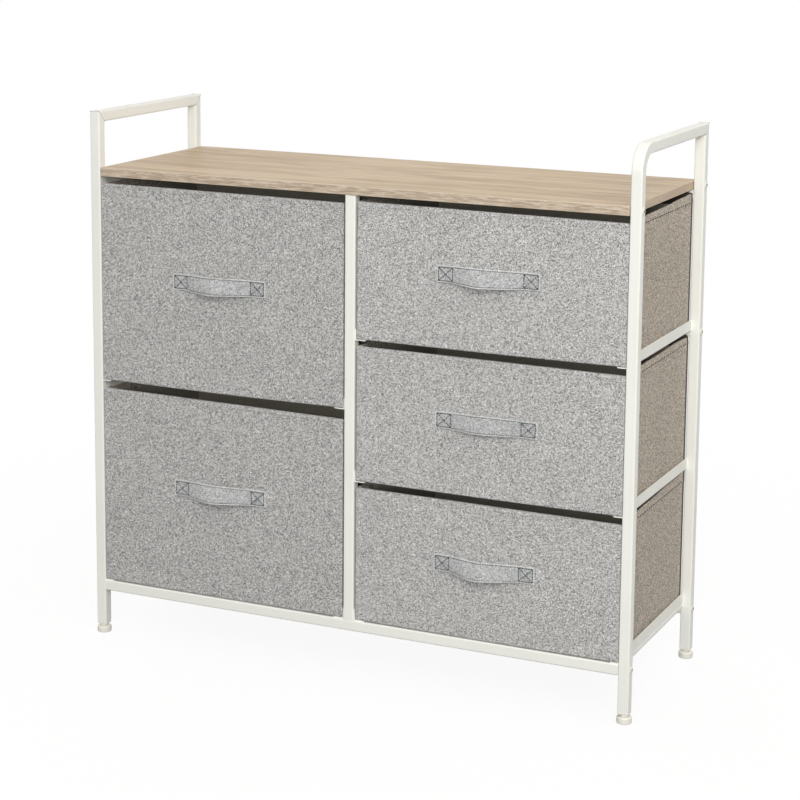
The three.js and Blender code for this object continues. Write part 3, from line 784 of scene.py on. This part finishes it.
class Drawer:
    """The cloth walls of one drawer: where their surface is, and the pieces sewn on it."""

    def __init__(self, name, shape, side_rim):
        self.name = name
        self.body = f"{name}_drawer"
        self.shape = shape
        self.side_rim = side_rim
        # Left drawers take the darker copy of the cloth and right drawers the paler one: painted
        # shade and painted light.
        self.fabric = LEFT_FABRIC_PAINTED_SHADE if name.startswith("left") else RIGHT_FABRIC_PAINTED_LIGHT
        self.low, self.high = low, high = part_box(f"{name}_drawer_box")
        self.width = high.x - low.x
        self.length = high.y - low.y
        self.rails = [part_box(f"{level}_back_rail") for level in ("bottom", "middle", "top")]
        self.seed = Vector([random.uniform(0, 50) for _ in range(3)])
        self.outer = self.outline(low.x, high.x, low.y, high.y, CORNER_RADIUS)
        self.inner = self.outline(
            low.x + WALL, high.x - WALL, low.y + FRONT_WALL, high.y - WALL, INNER_CORNER,
        )
        self.count = len(self.outer)
        self.rim = [self.rim_height(point) for point, _ in self.outer]
        self.hem = [self.hem_height(i) for i in range(self.count)]
        self.bottom = [self.bottom_height(point) for point, _ in self.outer]
        self.cloths = [self.cloth(column) for column in range(self.count)]

    @staticmethod
    def outline(x_low, x_high, y_low, y_high, radius):
        """Points round walls, anticlockwise from above, each with its outward direction."""
        corners = (
            (x_high - radius, y_low + radius, -90), (x_high - radius, y_high - radius, 0),
            (x_low + radius, y_high - radius, 90), (x_low + radius, y_low + radius, 180),
        )

        def on_corner(corner, turned):
            x, y, start = corners[corner]
            angle = radians(start + turned)
            outward = Vector((cos(angle), sin(angle), 0))
            return Vector((x, y, 0)) + outward * radius, outward

        # Columns stand close where the binding ends, and evenly between
        near = (BINDING - BINDING_EDGE, BINDING, 2 * BINDING)
        points = []
        for index, columns in enumerate(WALL_COLUMNS):
            for i in range(CORNER_STEPS + 1):
                points.append(on_corner(index, 90 * i / CORNER_STEPS))
            last, outward = points[-1]
            following, _ = on_corner((index + 1) % 4, 0)
            length = (following - last).length
            open_length = length - 2 * near[-1]
            middle = [near[-1] + open_length * i / columns for i in range(columns + 1)]
            spots = list(near[:-1]) + middle + [length - spot for spot in reversed(near[:-1])]
            for spot in spots:
                points.append((last.lerp(following, spot / length), outward))
        return points

    def rim_height(self, point):
        """Height of the top edge: a tilted front, sides that sag, and a back with round corners."""
        x_share = (point.x - self.low.x) / self.width
        y_behind = point.y - self.low.y
        inset = max(0.0, min(point.x - self.low.x, self.high.x - point.x))
        place = Vector((point.x * RIM_WAVES[0], point.y * RIM_WAVES[1], 0))
        ripple = RIM_RIPPLE * noise.noise(place + self.seed)
        left_tilt, right_tilt = self.shape.left_tilt, self.shape.right_tilt
        front = left_tilt + (right_tilt - left_tilt) * x_share + ripple
        if y_behind < FRONT_WALL:
            short = max(0.0, SHOULDER_ROUND - inset)
            front -= SHOULDER_ROUND - sqrt(SHOULDER_ROUND**2 - short**2)
            return self.high.z + front
        share = (y_behind - FRONT_WALL) / (self.length - FRONT_WALL)
        side = along_stations(self.side_rim, share) * MM + ripple * sin(pi * share)
        side += front * smooth(1 - (y_behind - FRONT_WALL) / FRONT_REACH)
        away = min(1.0, inset / BACK_CORNER)
        corner = sqrt(1 - (1 - away) ** 2) if y_behind > self.length / 2 else 0
        return self.high.z + side + (self.shape.back_rise + ripple - side) * corner

    def hem_height(self, index):
        """Lower edge of the hem: close under the front's edge, and level round the sides."""
        front = max(0.0, -self.outer[index][1].y) ** 2
        side_hem = self.high.z - SIDE_HEM
        return side_hem + (self.rim[index] - FRONT_HEM - side_hem) * front

    def bottom_height(self, point):
        """Height of the bottom edge, which hangs down a little in front."""
        sag = self.shape.bottom_sag * sin(pi * (point.x - self.low.x) / self.width)
        return self.low.z - sag * smooth(1 - (point.y - self.low.y) / FRONT_REACH)

    def sink(self, point, outward, z):
        """How far the cloth lies inside its plane: a little hollow, with soft creases."""
        x_share = (point.x - self.low.x) / self.width
        y_share = (point.y - self.low.y) / self.length
        z_share = (z - self.low.z) / (self.high.z - self.low.z)
        facing = abs(outward.y)
        share = x_share if facing > 0.5 else y_share
        spread = sin(pi * min(1.0, max(0.0, share)))
        up = min(1.0, max(0.0, z_share * HOLLOW_SPAN + HOLLOW_START))
        hollow = spread * sin(pi * up)
        front = outward.y < -0.5
        depth = WALL_SAG * (FRONT_SAG_SHARE if front else 1.0) * hollow
        place = Vector((point.x, point.y, z))
        broad, fine = (noise.noise(place * waves + self.seed) for waves in CREASE_WAVES)
        crease = CREASE * (broad + fine / 2) * hollow
        depth = max(0.0, depth + crease * (FRONT_CREASE_SHARE if front else 1.0))
        side = 1 - smooth(facing * 2)
        tuck = SIDE_TUCK * smooth(1 - (z - self.low.z) / TUCK_HEIGHT) * spread
        away = smooth(min(y_share, 1 - y_share) * self.length / BINDING)
        return depth + side * (tuck + SIDE_INSET * away)

    def bulge(self, point, z):
        """The back corners swell outwards where no rail is behind them."""
        clear = 1.0
        for low, high in self.rails:
            beyond = max(low.z - z, z - high.z) - RAIL_CLEARANCE
            clear *= smooth(beyond / RAIL_FADE)
        behind = self.high.y - point.y
        inset = min(point.x - self.low.x, self.high.x - point.x)
        near = clear * max(0.0, 1 - behind / BULGE_REACH)
        outwards = SIDE_BULGE * near if inset < CORNER_RADIUS else 0
        side = 1 if point.x > self.low.x + self.width / 2 else -1
        return Vector((side * outwards, BACK_BULGE * near * smooth(1 - inset / BULGE_SPREAD), 0))

    def surface(self, index, z, proud=0.0):
        """A point of the walls' outside, at a column of the outline and a height."""
        point, outward = self.outer[index]
        place = point + outward * (proud - self.sink(point, outward, z)) + self.bulge(point, z)
        return place + up_by(z)

    def cloth(self, column):
        """Which cloth covers the wall from one column to the next."""
        first, turned = self.outer[column]
        second, turning = self.outer[(column + 1) % self.count]
        middle = (first + second) / 2
        outward = turned + turning
        behind = self.high.y - middle.y
        inset = min(middle.x - self.low.x, self.high.x - middle.x)
        # The back corners take the dark binding, painted shade of the gap behind them.
        if max(behind, inset) < BINDING + CORNER_RADIUS:
            return BOUND_EDGE_PAINTED_SHADE
        if outward.y > 1:
            return BACK_PANEL
        return FRONT_CLOTH if outward.y < 0 else SIDE_CLOTH_PAINTED_SHADE

    def outer_row(self, height, proud=0.0):
        """Points round the outside, each at its column's height. Bound edges stand out more."""
        row = []
        for i in range(self.count):
            bound = self.cloths[i] == self.cloths[i - 1] == BOUND_EDGE_PAINTED_SHADE
            row.append(self.surface(i, height(i), proud + (BINDING_PROUD if bound else 0)))
        return row

    def inner_row(self, height):
        """Points round the inside, each at its column's height."""
        row = []
        for i, (point, outward) in enumerate(self.inner):
            z = height(i)
            row.append(point - outward * self.sink(*self.outer[i], z) + up_by(z))
        return row

    def shares(self, row_height):
        """Shares of the height at which rows stand about that far apart."""
        steps = round((self.high.z - self.low.z) / row_height)
        return [step / steps for step in range(1, steps + 1)]

    def wall_rows(self):
        """From under the bottom round its edge, and up to the hem."""
        bottom, hem = self.bottom, self.hem
        rows = [self.outer_row(lambda i: self.low.z, -UNDER_INSET)]
        for angle in BOTTOM_ANGLES:
            turn = radians(angle)
            up = BOTTOM_ROUND * (1 - sin(turn))
            inset = BOTTOM_ROUND * (1 - cos(turn))
            rows.append(self.outer_row(lambda i: bottom[i] + up, -inset))
        for share in self.shares(OUTER_ROW_HEIGHT):
            rows.append(self.outer_row(
                lambda i: (bottom[i] + BOTTOM_ROUND) * (1 - share) + hem[i] * share
            ))
        return rows

    def hem_rows(self):
        """Up the folded hem, and over the rim to the inside."""
        rim, hem = self.rim, self.hem
        rows = []
        for up, proud in HEM_START:
            rows.append(self.outer_row(lambda i: hem[i] + up, HEM_PROUD * proud))
        rows.append(self.outer_row(lambda i: (hem[i] + rim[i]) / 2, HEM_PROUD))
        for down, proud in HEM_END:
            rows.append(self.outer_row(lambda i: rim[i] - down, HEM_PROUD * proud))
        for share in RIM_SHARES:
            arch = RIM_ARCH * sin(pi * share)
            row = []
            for i, (point, outward) in enumerate(self.outer):
                across = point.lerp(self.inner[i][0], share)
                sink = self.sink(point, outward, rim[i])
                row.append(across - outward * sink + up_by(rim[i] - RIM_ARCH + arch))
            rows.append(row)
        return rows

    def lining_rows(self):
        """Down the inside: first over the facing, then down to the floor."""
        rim, floor_z = self.rim, self.low.z + WALL
        rows = [self.inner_row(lambda i: rim[i] - drop) for drop in (LINING_DROP, FACING_HEIGHT)]
        for share in self.shares(INNER_ROW_HEIGHT):
            rows.append(self.inner_row(
                lambda i: (rim[i] - FACING_HEIGHT) * (1 - share) + floor_z * share
            ))
        return rows

    def build_walls(self):
        """The walls, hem and lining as one closed skin."""
        outside, hem, inside = self.wall_rows(), self.hem_rows(), self.lining_rows()
        hem_row = len(outside) - 1
        facing_row = len(outside) + len(hem) + 1

        def material(row, column):
            if row >= facing_row:
                return INSIDE_CLOTH
            # The back panel's folded top edge takes the dark binding as painted shade.
            if row >= hem_row and self.cloths[column] == BACK_PANEL:
                return BOUND_EDGE_PAINTED_SHADE
            return self.cloths[column]

        bm = bmesh.new()
        closed_skin(bm, outside + hem + inside, BACK_PANEL, INSIDE_CLOTH, material=material)
        # The side walls' cloth is a darker, browner copy of the front cloth, as painted shade.
        cloths = [self.fabric, LINING, SIDE_FABRIC_PAINTED_SHADE, BACK_CLOTH, BINDING_PAINTED_SHADE]
        walls = new_piece(
            f"{self.name}_drawer_cloth", bm, cloths, self.body, CLOTH_ANGLE,
        )
        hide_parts(f"{self.name}_drawer_box")

    def build_hem_stitches(self):
        """Stitches in the folded top edge: fine ones in front, longer dark ones behind."""
        bm = bmesh.new()
        half = self.count // 2
        from_behind = [*range(half, self.count), *range(half)]
        front = [i for i in from_behind if self.outer[i][1].y < -0.5]
        others = [i for i in range(self.count) if self.outer[i][1].y >= -0.5]
        rows = ((front, FRONT_STITCHES), (others, SIDE_STITCHES))
        for material, (indices, sewing) in enumerate(rows):
            points = [self.surface(i, self.hem[i] + HEM_LIFT, HEM_PROUD) for i in indices]
            outwards = [self.outer[i][1] for i in indices]
            stitch_line(bm, points, outwards, sewing, material)
        new_piece(
            f"{self.name}_drawer_hem_stitches", bm, [FRONT_HEM_THREAD, HEM_THREAD],
            self.body, STITCH_ANGLE,
        )

    def build_board(self):
        """Stiff base board in cloth, with rounded edges."""
        name = f"{self.name}_drawer_base_board"
        low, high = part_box(name)
        half_way = BOARD_EDGE * BOARD_EDGE_SHARE
        edge = ((BOARD_INSET, 0), (BOARD_EDGE, 0), (half_way, half_way), (0, BOARD_EDGE))
        levels = [(inset, low.z + up) for inset, up in edge]
        levels += [(inset, high.z - down) for inset, down in reversed(edge)]
        rows = []
        for inset, z in levels:
            outline = self.outline(
                low.x + inset, high.x - inset, low.y + inset, high.y - inset, INNER_CORNER,
            )
            rows.append([point + up_by(z) for point, _ in outline])
        bm = bmesh.new()
        closed_skin(bm, rows)
        board = new_piece(f"{name}_cloth", bm, [BOARD], self.body, BOARD_ANGLE)
        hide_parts(name)


def stations(half, steps):
    """Even steps from one end to the other, measured from the middle."""
    return [-half + 2 * half * i / steps for i in range(steps + 1)]


class Strap:
    """Folded cloth strap, sewn down at both ends and standing off between them."""

    def __init__(self, drawer):
        self.drawer = drawer
        self.name = f"{drawer.name}_drawer_strap"
        low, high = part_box(self.name)
        self.centre_x = (low.x + high.x) / 2
        self.half = (high.x - low.x) / 2
        self.loose = self.half - STRAP_PAD
        self.width = (high.z - low.z) - drawer.shape.strap_sag
        self.centre_z = high.z - self.width / 2

    def lift(self, x):
        """How far it stands off at a distance from its middle, as a share of its bow."""
        if abs(x) >= self.loose:
            return 0.0
        travel = (x + self.loose) / (2 * self.loose)
        left = travel / BOW_PEAK
        right = (1 - travel) / (1 - BOW_PEAK)
        return (2 / (left ** -RIDGE + right ** -RIDGE)) ** (1 / RIDGE)

    def middle(self, x):
        """The back of the strap's middle line."""
        height = self.lift(x)
        waves = noise.noise(Vector((x * STRAP_WAVES, 0, 0)) + self.drawer.seed)
        ripple = STRAP_RIPPLE * waves * height
        y = self.drawer.low.y - STRAP_SEAT - self.drawer.shape.bow * height + ripple
        droop = DROOP * self.drawer.shape.strap_sag * height
        return Vector((self.centre_x + x, y, self.centre_z - droop))

    def outward(self, x):
        """The direction that the strap's face looks in."""
        before = self.middle(max(-self.half, x - STRAP_SAMPLE))
        after = self.middle(min(self.half, x + STRAP_SAMPLE))
        return (after - before).normalized().cross(up_by(1)).normalized()

    def half_width(self, x):
        return self.width / 2 + STRAP_FLARE * self.lift(x)

    def spot(self, x, edge, inset, depth):
        """A point across the strap: which edge it is measured from, how far in, and how far out."""
        return self.across(x, edge * (self.half_width(x) - inset), depth)

    def across(self, x, height, depth):
        """A point at a height over the strap's middle line. The lower edge stands out farther."""
        lean = self.drawer.shape.lean * self.lift(x) * height / self.half_width(x)
        return self.middle(x) + self.outward(x) * (depth - lean) + up_by(height)

    def rolled(self, x, edge):
        """Points round the folded upper edge (1) or lower edge (-1)."""
        roll = STRAP_THICKNESS / 2
        points = []
        for angle in EDGE_ANGLES:
            turn = radians(angle * edge)
            inset = roll * (1 - cos(turn))
            points.append(self.spot(x, edge, inset, roll + roll * sin(turn)))
        return points

    def section(self, x):
        """Points round the strap, from its lower edge up the face, over, and down the back."""
        thick = STRAP_THICKNESS
        roll = thick / 2
        near_seam = SEAM_INSET - GROOVE_HALF_WIDTH
        past_seam = SEAM_INSET + GROOVE_HALF_WIDTH
        face = [(roll, thick), (near_seam, thick), (SEAM_INSET, thick - GROOVE), (past_seam, thick)]
        ring = [self.spot(x, -1, inset, depth) for inset, depth in face]
        puffed = thick + STRAP_PUFF * self.lift(x)
        for share in FACE_SHARES:
            ring.append(self.across(x, share * (self.half_width(x) - past_seam), puffed))
        ring += [self.spot(x, 1, inset, depth) for inset, depth in reversed(face)]
        ring += self.rolled(x, 1)
        ring += [self.spot(x, share, roll, 0) for share in BACK_SHARES]
        return ring + self.rolled(x, -1)

    def add_piece(self, part, bm, materials, angle):
        name = f"{self.name}_{part}"
        return new_piece(name, bm, materials, self.drawer.body, angle)

    def build(self):
        """The cloth, of a paler kind outside its seams and, as a painted highlight on the folds, at
        its ends; and its stitches.
        """
        rings = [self.section(x) for x in stations(self.half, STRAP_STEPS)]
        highlighted_end_rows = (0, STRAP_STEPS - 1)
        bm = bmesh.new()
        closed_skin(
            bm, rings, 1, 1,
            material=lambda row, column: 1 if column in EDGE_COLUMNS or row in highlighted_end_rows else 0,
        )
        strap = self.add_piece("cloth", bm, [WEBBING, STRAP_EDGE_AND_HIGHLIGHT], CLOTH_ANGLE)
        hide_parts(self.name)
        self.build_boxes()
        self.build_seams()

    def build_boxes(self):
        """A box and a cross of thick thread on each end pad."""
        bm = bmesh.new()
        outward = Vector((0, -1, 0))
        face = outward * (STRAP_THICKNESS + BOX_LIFT)
        upper = self.width / 2 - BOX_INSET
        for side in (-1, 1):
            left, right = sorted((side * (self.half - BOX_INSET), side * (self.loose + BOX_END)))
            corners = [(left, upper), (right, upper), (right, -upper), (left, -upper)]
            lines = list(zip(corners, corners[1:] + corners[:1]))
            lines += [(corners[0], corners[2]), (corners[1], corners[3])]
            for line in lines:
                points = [self.middle(x) + face + up_by(z) for x, z in line]
                stitch_line(bm, points, [outward, outward], BOX_STITCHES)
        self.add_piece("box_stitches", bm, [DARK_THREAD], STITCH_ANGLE)

    def build_seams(self):
        """A line of stitches in the groove along each edge."""
        bm = bmesh.new()
        spots = stations(self.loose, SEAM_STEPS)
        outwards = [self.outward(x) for x in spots]
        depth = STRAP_THICKNESS - GROOVE + SEAM_LIFT
        for edge in (1, -1):
            points = [self.spot(x, edge, SEAM_INSET, depth) for x in spots]
            stitch_line(bm, points, outwards, SEAM_STITCHES)
        self.add_piece("edge_stitches", bm, [DARK_THREAD], STITCH_ANGLE)


def make_drawers():
    for name, (lengths, side_rim) in DRAWERS.items():
        drawer = Drawer(name, Shape(*(length * MM for length in lengths)), side_rim)
        drawer.build_walls()
        drawer.build_hem_stitches()
        drawer.build_board()
        Strap(drawer).build()


# Stage and light

def make_world():
    """Warm light from all round, which the eye sees as plain white."""
    world = bpy.data.worlds.new("studio")
    world.use_nodes = True
    bpy.context.scene.world = world
    made = Nodes(world.node_tree)
    sky = made.tree.nodes["Background"]
    made.put(sky.inputs["Color"], SKY_COLOUR)
    made.put(sky.inputs["Strength"], SKY_STRENGTH)
    white = made.node("Background", {"Color": (1, 1, 1, 1), "Strength": 1})
    mix = made.node("MixShader", (made.seen_by_eye(), sky.outputs[0], white.outputs[0]))
    made.put(made.tree.nodes["World Output"].inputs["Surface"], mix.outputs[0])


def make_floor():
    """White floor: near the object a faint part of its shadow shows, and further off none."""
    material = bpy.data.materials.new("floor")
    material.use_nodes = True
    material.node_tree.nodes.clear()
    made = Nodes(material.node_tree)
    seen = made.seen_by_eye()
    grey = made.math("MULTIPLY_ADD", seen, 1 - FLOOR_BOUNCE, FLOOR_BOUNCE)
    diffuse = made.node("BsdfDiffuse", {"Color": grey})
    glow = made.node("Emission", {"Strength": 1})
    place = made.node("TexCoord").outputs["Object"]
    distance = made.node("VectorMath", (place,), operation="LENGTH").outputs["Value"]
    share = made.math("MULTIPLY", seen, made.spread(distance, *SHADOW_REACH, FLOOR_GLOW, 1))
    mix = made.node("MixShader", (share, diffuse.outputs[0], glow.outputs[0]))
    made.node("OutputMaterial", {"Surface": mix.outputs[0]})
    bm = bmesh.new()
    bmesh.ops.create_grid(bm, x_segments=1, y_segments=1, size=FLOOR_REACH)
    floor = mesh_object("floor", bm, [material])


def make_lamp(name, azimuth, elevation, distance, size, power, colour):
    """Area lamp aimed at the middle of the dresser. Azimuth 0 is in front, 90 to the right."""
    data = bpy.data.lights.new(name, "AREA")
    data.shape = "SQUARE"
    data.size = size
    data.energy = power
    data.color = colour
    lamp = add_object(name, data)
    turn, rise = radians(azimuth), radians(elevation)
    back = Vector((sin(turn) * cos(rise), -cos(turn) * cos(rise), sin(rise)))
    lamp.location = LAMP_AIM + back * distance
    lamp.rotation_euler = (-back).to_track_quat("-Z", "Y").to_euler()
    return lamp


def light_scene():
    lamps = {name: make_lamp(name, *values) for name, values in LAMPS.items()}
    lamps["back_fill"].visible_glossy = False


make_camera()
dress_frame()
for mitred_post in ("left_back_post", "right_back_post", "left_front_post"):
    make_mitre_seam(mitred_post, 1 if "front" in mitred_post else -1)
for bolt_name in [name for name in nodes if name.endswith("_bolt")]:
    make_bolt(bolt_name)
for foot_corner in ("left_front", "left_back", "right_front", "right_back"):
    make_foot(foot_corner)
make_drawers()
make_world()
make_floor()
light_scene()
bpy.context.scene.view_settings.view_transform = "Standard"
